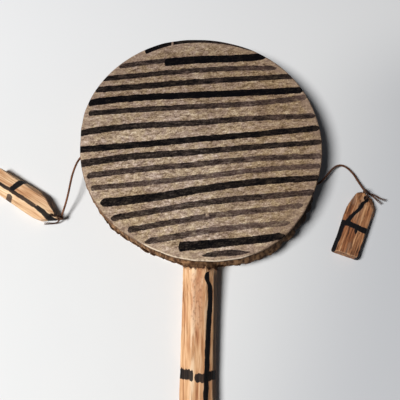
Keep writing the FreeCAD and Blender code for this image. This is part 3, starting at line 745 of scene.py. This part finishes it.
class Hide:
    """One head's hide: flat over the hoop, turned at the rim, its skirt cut in ragged tabs.
    A ring gives radius and depth by the turn about the drum, depth from the head's face."""

    CORNER, THICK = 1.5, 0.72
    # Radii of the rings on the face, outside and inside
    OUTER_FLATS = [0.5, *range(5, 75, 5), 76, 79, 82, 84, 86, 87.6, HEAD_RADIUS - CORNER - 0.2]
    INNER_FLATS = [84, 76, 60, 40, 20, 0.5]
    # How far the edge is cut back at a tab's corners, and how ragged it is
    CUT_BACK, RAGGED = 1.9, 0.9
    # How far folds and each tab's free side stand out
    FOLD_OUT, TAB_OUT = 0.9, 0.8
    # The front skirt's crumpled stretch in degrees, and how far it stands out
    CRUMPLED, CRUMPLE_OUT, CRUMPLE_VARIES = (279, 292, 335, 347), 2.1, 1.8
    # How far the face sinks inside the hoop, and how uneven it is over what distance
    SUNK, UNEVEN, UNEVEN_OVER = 0.28, 0.1, 17
    # The lap over the handle: half its width without and with its sides, its reach out, and
    # the share of the skirt above it
    LAP_HALF, LAP_SIDES, LAP_REACH, ABOVE_LAP = 11.2, 12.8, 4.1, 0.24

    def __init__(self, front, seed, tab_widths, skirt, lumps):
        self.front, self.seed, self.skirt, self.lumps = front, seed, skirt, lumps
        dice = random.Random(seed)
        self.tabs, turn = [], 0.0
        while turn < tau:
            wide = dice.uniform(*tab_widths) / HEAD_RADIUS
            self.tabs.append((turn, turn + wide, dice.uniform(-0.9, 0.9),
                              dice.uniform(-0.05, 0.05)))
            turn += wide

    def tab_at(self, turn, depth):
        """Where this place is across its tab, from 0 to 1, and that tab's extra length."""
        for start, stop, longer, slant in self.tabs:
            lean = slant * depth / self.skirt
            if start + lean <= turn < stop + lean:
                return (turn - start - lean) / (stop - start), longer
        return 0.5, 0.0

    def ragged(self, turn, per_turn):
        """Unevenness round the drum, from -1 to 1."""
        return noise.noise(Vector((cos(turn) * per_turn, sin(turn) * per_turn, self.seed)))

    def edge(self, turn):
        """Depth of the skirt's edge."""
        share, longer = self.tab_at(turn, self.skirt)
        return (self.skirt + longer - self.CUT_BACK * (2 * share - 1) ** 4
                + self.RAGGED * self.ragged(turn, 60))

    def bulge(self, turn, depth):
        """How far the skirt stands out: folds, and each tab laid over the next."""
        share, _ = self.tab_at(turn, depth)
        fold = abs(noise.noise(Vector((cos(turn) * 13, sin(turn) * 13,
                                       depth * 0.12 + self.seed))))
        loose = rise(depth, 3.0, self.skirt * 0.75)
        swell = noise.noise(Vector((cos(turn) * 5, sin(turn) * 5, self.seed * 2.0)))
        lap = share * (1 - rise(share, 0.93, 1)) * self.TAB_OUT
        start, full, fading, stop = map(radians, self.CRUMPLED)
        crumple = self.front * rise(turn, start, full) * rise(turn, stop, fading) * (
            self.CRUMPLE_OUT + self.CRUMPLE_VARIES * self.ragged(turn, 17))
        lumpy = self.lumps * max(0, swell + 0.25)
        return loose * (fold * self.FOLD_OUT + lap + crumple + lumpy) + 0.12 * fold

    def sag(self, radius, turn):
        """How far the face lies below its highest."""
        spot = Vector((radius * cos(turn) / self.UNEVEN_OVER,
                       radius * sin(turn) / self.UNEVEN_OVER, self.seed))
        return self.SUNK * rise(radius, 86, 76) + self.UNEVEN * (1 + noise.noise(spot))

    def flat(self, radius, depth):
        """A ring on the face."""
        def ring(turn):
            out = out_of_round(turn) * rise(radius, 70, 88)
            return radius + out, depth + self.sag(radius, turn)
        return ring

    def turned(self, share, inward):
        """A ring on the corner, a share of the way round it."""
        swing, out = pi / 2 * share, self.CORNER - inward

        def ring(turn):
            radius = HEAD_RADIUS - self.CORNER + out * sin(swing) + out_of_round(turn)
            return radius, (self.CORNER - out * cos(swing)
                            + self.sag(HEAD_RADIUS - 2, turn) * (1 - share))
        return ring

    def side(self, share, inward=0.0):
        """A ring on the skirt, a share of the way down to its edge."""
        def ring(turn):
            depth = self.CORNER + share * (self.edge(turn) - self.CORNER)
            out = self.bulge(turn, depth) * (1 - trued(turn))
            bent = out_of_round(turn) * (1 - trued(turn) * rise(depth, 1.5, 4.5))
            over = self.over_handle(turn)
            if over:
                rest = HEAD_TOP - handle_top(HEAD_RADIUS * cos(turn)) - self.THICK - 0.1
                reach = self.LAP_REACH + 1.6 * self.ragged(turn, 38) + 0.9 * self.ragged(turn, 95)
                wave = 0.35 * self.ragged(turn, 30)
                low = self.CORNER + (rest - self.CORNER) * min(1, share / 0.3)
                lapped = max(0, share - self.ABOVE_LAP) / (1 - self.ABOVE_LAP)
                depth += (low + lapped * 0.4 - wave * lapped - depth) * over
                out += (lapped * reach - out) * over
            return (HEAD_RADIUS + bent + out - inward * (1 - over * share),
                    depth + inward * over * share)
        return ring

    def over_handle(self, turn):
        """1 where the front skirt is turned out over the handle's shoulder."""
        off = abs(turn - HANDLE_TURN) * HEAD_RADIUS
        return self.front * rise(off, self.LAP_SIDES, self.LAP_HALF)

    def height(self, depth):
        """Height above the table at this depth."""
        return HEAD_TOP - depth if self.front else depth

    def rings(self):
        """Outside to the skirt's edge, then back inside."""
        outside = [self.flat(radius, 0) for radius in self.OUTER_FLATS]
        outside += [self.turned(step / 6, 0) for step in range(7)]
        outside += [self.side(step / 18) for step in range(1, 19)]
        inside = [self.side(step / 6, self.THICK) for step in range(6, 0, -1)]
        inside += [self.turned(step / 3, self.THICK) for step in range(3, -1, -1)]
        inside += [self.flat(radius, self.THICK) for radius in self.INNER_FLATS]
        return outside + inside

    def fray(self, count, dice):
        """Roots of the loose fibres along the skirt's edge, many of them over the handle."""
        roots = []
        for _ in range(count):
            turn = dice.uniform(0, tau)
            if dice.random() < 0.25:
                turn = HANDLE_TURN + dice.gauss(0, 0.1)
            if trued(turn):
                continue
            radius, depth = self.side(0.97)(turn)
            down = Vector((0, 0, -1 if self.front else 1)) * (1 - self.over_handle(turn))
            away = (down * dice.uniform(0.2, 1) + around(turn, dice.uniform(0, 0.5), 0)
                    + around(turn, self.over_handle(turn), 0)
                    + around(turn + pi / 2, dice.uniform(-0.9, 0.9), 0)).normalized()
            roots.append((around(turn, radius - 0.2, self.height(depth)), away))
        return roots


# Points in each ring of a head, and the fibres along its edge
HEAD_STEPS, FRAY_COUNT, FRAY_LENGTH, FRAY_RADIUS = 900, 420, 1.9, 0.09


def make_head(name, finish, node, slot, hide):
    """A head's hide, and the fibres along its edge."""
    form = Form()
    turns = [tau * step / HEAD_STEPS for step in range(HEAD_STEPS)]
    if not hide.front:
        turns.reverse()
    form.rings([[around(turn, radius, hide.height(depth)) for turn in turns
                 for radius, depth in [ring(turn)]] for ring in hide.rings()])
    form.piece(name, finish, "drum", slot, [node])
    dice = random.Random(hide.seed + 50)
    fray = Form()
    fray.hairs(hide.fray(FRAY_COUNT, dice), FRAY_LENGTH, FRAY_RADIUS, dice)
    fray.piece(name + "_fray", cord_fibre, "drum", slot)


make_head("front_head", front_hide, "front_skin", "front_hide",
          Hide(front=True, seed=4, tab_widths=(8, 13), skirt=15.6, lumps=0.5))
make_head("back_head", back_hide, "back_skin", "back_hide",
          Hide(front=False, seed=9, tab_widths=(6, 12), skirt=6.2, lumps=1.3))


def make_hoop():
    """The bent hoop, out of round like the heads."""
    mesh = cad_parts["hoop"].data.copy()
    for vertex in mesh.vertices:
        turn = atan2(vertex.co.y, vertex.co.x) % tau
        vertex.co += around(turn, out_of_round(turn) * (1 - trued(turn)) * MM, 0)
    dress("bent_hoop", mesh, hoop_wood, "drum", ["hoop"])


make_hoop()


# Whittled wood

# How many times ridges are smoothed, and between what distances the handle bends
SOFTENING, BEND_FROM, BEND_TO = 3, 80, 200
# How fast scoops change round a piece, and its fine unevenness: how dense and how deep
SCOOPS_ROUND, FINE_PER_MM, FINE_DEPTH = 1.9, 0.35, 0.07


def carve(name, node, finish, body, voxel, scoop, deep, along, place=Matrix.Identity(4),
          flats=(), lean=0.0):
    """A whittled piece on its CAD node's form, with softened ridges and shallow knife scoops.
    Along is 0 or 1 for grain along its own X or Y. Flats are straight cuts, each a place and
    the way it faces; lean is how far it bends to the left."""
    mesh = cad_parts[node].data.copy()
    mesh.transform(place.inverted())
    block = bpy.data.objects.new("block", mesh)
    scene.collection.objects.link(block)
    even = block.modifiers.new("even", "REMESH")
    even.mode = "VOXEL"
    even.voxel_size = voxel * MM
    carved = bpy.data.meshes.new_from_object(
        block.evaluated_get(bpy.context.evaluated_depsgraph_get()))
    for vertex in carved.vertices:
        for spot, facing in flats:
            over = (vertex.co / MM - Vector(spot)).dot(facing)
            vertex.co -= facing * max(0, over) * MM
        vertex.co.x -= lean * rise(-vertex.co.y / MM, BEND_FROM, BEND_TO) * MM
    block.modifiers.remove(even)
    block.data = carved
    soften = block.modifiers.new("soften", "SMOOTH")
    soften.iterations = SOFTENING
    carved = bpy.data.meshes.new_from_object(
        block.evaluated_get(bpy.context.evaluated_depsgraph_get()))
    bpy.data.objects.remove(block)
    normals = [vertex.normal.copy() for vertex in carved.vertices]
    for vertex, normal in zip(carved.vertices, normals):
        run = vertex.co[along] / MM / scoop
        face = [normal[axis] * SCOOPS_ROUND for axis in range(3) if axis != along]
        cut = noise.noise(Vector((run, *face)))
        fine = noise.noise(vertex.co / MM * FINE_PER_MM)
        vertex.co -= normal * (deep * (0.5 + cut) + FINE_DEPTH * fine) * MM
    return dress(name, carved, finish, body, [node], place)


# The cuts are at the handle's shoulder and at a corner of each striker's tip
carve("grip", "handle", handle_wood, "drum", voxel=0.5, scoop=19, deep=0.34,
      along=1, flats=[((7.0, -110, 17.2), Vector((0.68, 0, 0.733)))], lean=1.75)
for side, finish, place, cut in (
        ("left", left_wood, LEFT_PLACE, ((7.1, -5.1, 8.1), Vector((-0.39, -0.851, 0.35)))),
        ("right", right_wood, RIGHT_PLACE, ((8.7, 5.4, 9.0), Vector((-0.5, 0.45, 0.74))))):
    carve(f"{side}_block", f"{side}_striker", finish, f"{side}_striker",
          voxel=0.32, scoop=11, deep=0.26, along=0, place=place, flats=[cut])


# Cords

# Steps along a line, in millimetres, and steps round a knot
STEP, KNOT_STEPS = 0.3, 60
FUZZ_LENGTH, FUZZ_RADIUS = 1.1, 0.05
# A striker's knot, beyond its tip and above the table, and the loop's heights
KNOT_OUT, KNOT_HEIGHT, LOOP_HIGH, LOOP_LOW = 2.2, 4.9, 8.7, 0.85
# From the drum's axis to the stop knot, and to the cord's way through the side
STOP_KNOT_OUT, STEM_OUT = 79.5, (85, 91.2)


def overhand(size):
    """The line of a tight overhand knot, closed on itself."""
    return [Vector((sin(t) + 2 * sin(2 * t), cos(t) - 2 * cos(2 * t), -1.4 * sin(3 * t))) * size
            for t in (tau * step / KNOT_STEPS for step in range(KNOT_STEPS + 1))]


def add_knot(form, centre, size, thick, tilt):
    """A knot about a centre, tilted on two axes."""
    turn = Matrix.Rotation(tilt, 3, "X") @ Matrix.Rotation(tilt * 0.7, 3, "Y")
    form.cord([centre + turn @ spot for spot in evenly(overhand(size), STEP)], thick, lay=2.6)


def fuzz(form, line, radius, count, seed):
    """Loose fibres that stand off a cord, from this far off its middle line."""
    dice = random.Random(seed)
    roots = []
    for _ in range(count):
        place = dice.randrange(1, len(line) - 1)
        ahead = (line[place + 1] - line[place]).normalized()
        off = ahead.orthogonal()
        off.rotate(Matrix.Rotation(dice.uniform(0, tau), 3, ahead))
        roots.append((line[place] + off * radius, (off * 0.5 + ahead).normalized()))
    form.hairs(roots, FUZZ_LENGTH, FUZZ_RADIUS, dice)


def make_cord(side, route):
    """The free cord from the drum's side to the striker's knot."""
    line = smooth_line(route, 0.00025)
    form = Form()
    spots = [spot / MM for spot in line]
    form.cord(spots, CORD)
    fuzz(form, spots, CORD * 0.42, count=26, seed=len(side))
    twist = form.piece(f"{side}_twist", cord_fibre, f"{side}_cord", "cord_fibre",
                       [f"{side}_cord"])
    run_of(line)[-1]


def make_tie(side, place, hole, knot_across, tails, tilt):
    """Loop through the striker's hole, the knot at its tip and the frayed ends beyond it."""
    knot = Vector((-KNOT_OUT, knot_across, KNOT_HEIGHT))
    form = Form()
    loop = [knot, (-2.6, knot_across, 7.4), (-1.2, knot_across, LOOP_HIGH),
            (1.6, hole, LOOP_HIGH + 0.2), (4.0, hole, LOOP_HIGH + 0.2), (4.4, hole, 7.0),
            (4.4, hole, 2.6), (4.0, hole, LOOP_LOW), (1.6, hole, LOOP_LOW),
            (-1.4, knot_across, LOOP_LOW), (-2.6, knot_across, 2.6), knot]
    form.cord(smooth_line(loop, 0.28), CORD * 0.94)
    add_knot(form, knot, size=0.42, thick=CORD * 0.8, tilt=tilt)
    for number, tail in enumerate(tails):
        line = smooth_line([knot] + [knot + Vector(spot) for spot in tail], STEP)
        form.cord(line, 0.95, lay=3.0, flare=0.55)
        fuzz(form, line, 0.35, count=10, seed=number + 3)
    return form.piece(f"{side}_loop", tie_fibre, f"{side}_striker", "cord_fibre",
                      [f"{side}_tie"], place)


def make_inner_knot(side):
    """The cord's end inside the hoop: its knot, its cut end and the stem through the side."""
    turn = radians(CORD_EXITS[side])
    centre = around(turn, STOP_KNOT_OUT, MID_DEPTH)
    form = Form()
    stem = [centre] + [around(turn, out, MID_DEPTH) for out in STEM_OUT]
    form.cord(evenly(stem, STEP), CORD)
    add_knot(form, centre, size=0.5, thick=CORD * 0.85, tilt=0.9)
    tail = [centre, around(turn + 0.012, 76.5, 12.6), around(turn + 0.02, 72.5, 11.2)]
    form.cord(smooth_line(tail, STEP), CORD * 0.9, flare=0.5)
    form.piece(f"{side}_inner_knot", cord_fibre, "drum", "cord_fibre", [f"{side}_stop_knot"])


left_tie = make_tie("left", LEFT_PLACE, hole=-1.4, knot_across=-3.6, tilt=0.6, tails=[
    [(0.5, 2.0, -1.3), (1.2, 4.4, -2.5), (3.8, 6.6, -3.3), (6.6, 8.2, -3.6),
     (9.6, 10.2, -3.7)]])
right_tie = make_tie("right", RIGHT_PLACE, hole=1.72, knot_across=-0.32, tilt=1.2, tails=[
    [(0.4, 3.0, -0.4), (-0.6, 8.2, -1.4), (0.8, 13.0, -1.8), (-0.3, 17.6, -2.4)],
    [(0.5, 3.0, -0.9), (0.7, 7.6, -2.2), (2.6, 11.6, -2.2), (3.6, 15.4, -2.6)]])
make_cord("left", LEFT_ROUTE)
make_cord("right", RIGHT_ROUTE)
make_inner_knot("left")
make_inner_knot("right")


# Studio

BACKDROP = (0.80, 0.81, 0.83, 1)
SKY, SKY_STRENGTH = (0.78, 0.88, 1.0, 1), 0.04
# The floor's half width and drop in metres, and where it begins and ends to fade in millimetres
FLOOR_HALF, FLOOR_BELOW, HAZE_FROM, HAZE_FULL = 4.0, 0.0003, 290, 620


def make_floor():
    """Pale paper, with painted shade towards the right, that fades into the backdrop far off."""
    paper = Finish("studio_paper")
    mottle = paper.noise(60, seed=2)
    color = paper.mix(mottle, srgb(229, 230, 231), srgb(232, 233, 233))
    color = paper.mix(paper.y.rise(-40, 160), color, srgb(235, 236, 238))
    # Painted shade: darker towards the right and front, where the light falls off
    right = (paper.x * 0.85 - paper.y * 0.35).rise(30, 165) * (1 - paper.y.rise(40, 150))
    color = paper.mix(right, color, srgb(203, 205, 209))
    shader = paper.node("BsdfPrincipled", {}, {"Base Color": color, "Roughness": 0.9})
    far_off = paper.distance().rise(HAZE_FROM, HAZE_FULL)
    seen = paper.node("LightPath", output="Is Camera Ray")
    haze = paper.node("Emission", {}, {"Color": BACKDROP})
    paper.node("OutputMaterial", {}, {
        "Surface": paper.node("MixShader", {}, {0: far_off * seen, 1: shader, 2: haze})})
    mesh = bpy.data.meshes.new("studio_floor")
    corners = [(-1, -1), (1, -1), (1, 1), (-1, 1)]
    mesh.from_pydata([(x * FLOOR_HALF, y * FLOOR_HALF, 0) for x, y in corners], [],
                     [(0, 1, 2, 3)])
    mesh.materials.append(paper.material)
    floor = bpy.data.objects.new("studio_floor", mesh)
    floor.location.z = -FLOOR_BELOW
    scene.collection.objects.link(floor)


def make_lamp(name, spot, goal, size, power, color):
    """A round lamp at a spot, turned to its goal."""
    lamp = bpy.data.lights.new(name, "AREA")
    lamp.shape = "DISK"
    lamp.size = size
    lamp.energy = power
    lamp.color = color
    holder = bpy.data.objects.new(name, lamp)
    holder.location = spot
    holder.rotation_euler = (Vector(goal) - Vector(spot)).to_track_quat("-Z", "Y").to_euler()
    scene.collection.objects.link(holder)


def make_sky():
    """Faint bluish light from all round; the camera sees the backdrop instead."""
    scene.world = bpy.data.worlds.new("studio")
    sky = Nodes(scene.world)
    seen = sky.node("LightPath", output="Is Camera Ray")
    soft = sky.node("Background", {}, {"Color": SKY, "Strength": SKY_STRENGTH})
    pale = sky.node("Background", {}, {"Color": BACKDROP})
    sky.node("OutputWorld", {}, {
        "Surface": sky.node("MixShader", {}, {0: seen, 1: soft, 2: pale})})


make_floor()
make_lamp("window", spot=(-0.855, -0.436, 1.4), goal=(0.0, -0.05, 0.0), size=0.62, power=33,
          color=(1.0, 0.99, 0.975))
make_sky()
scene.view_settings.view_transform = "Standard"
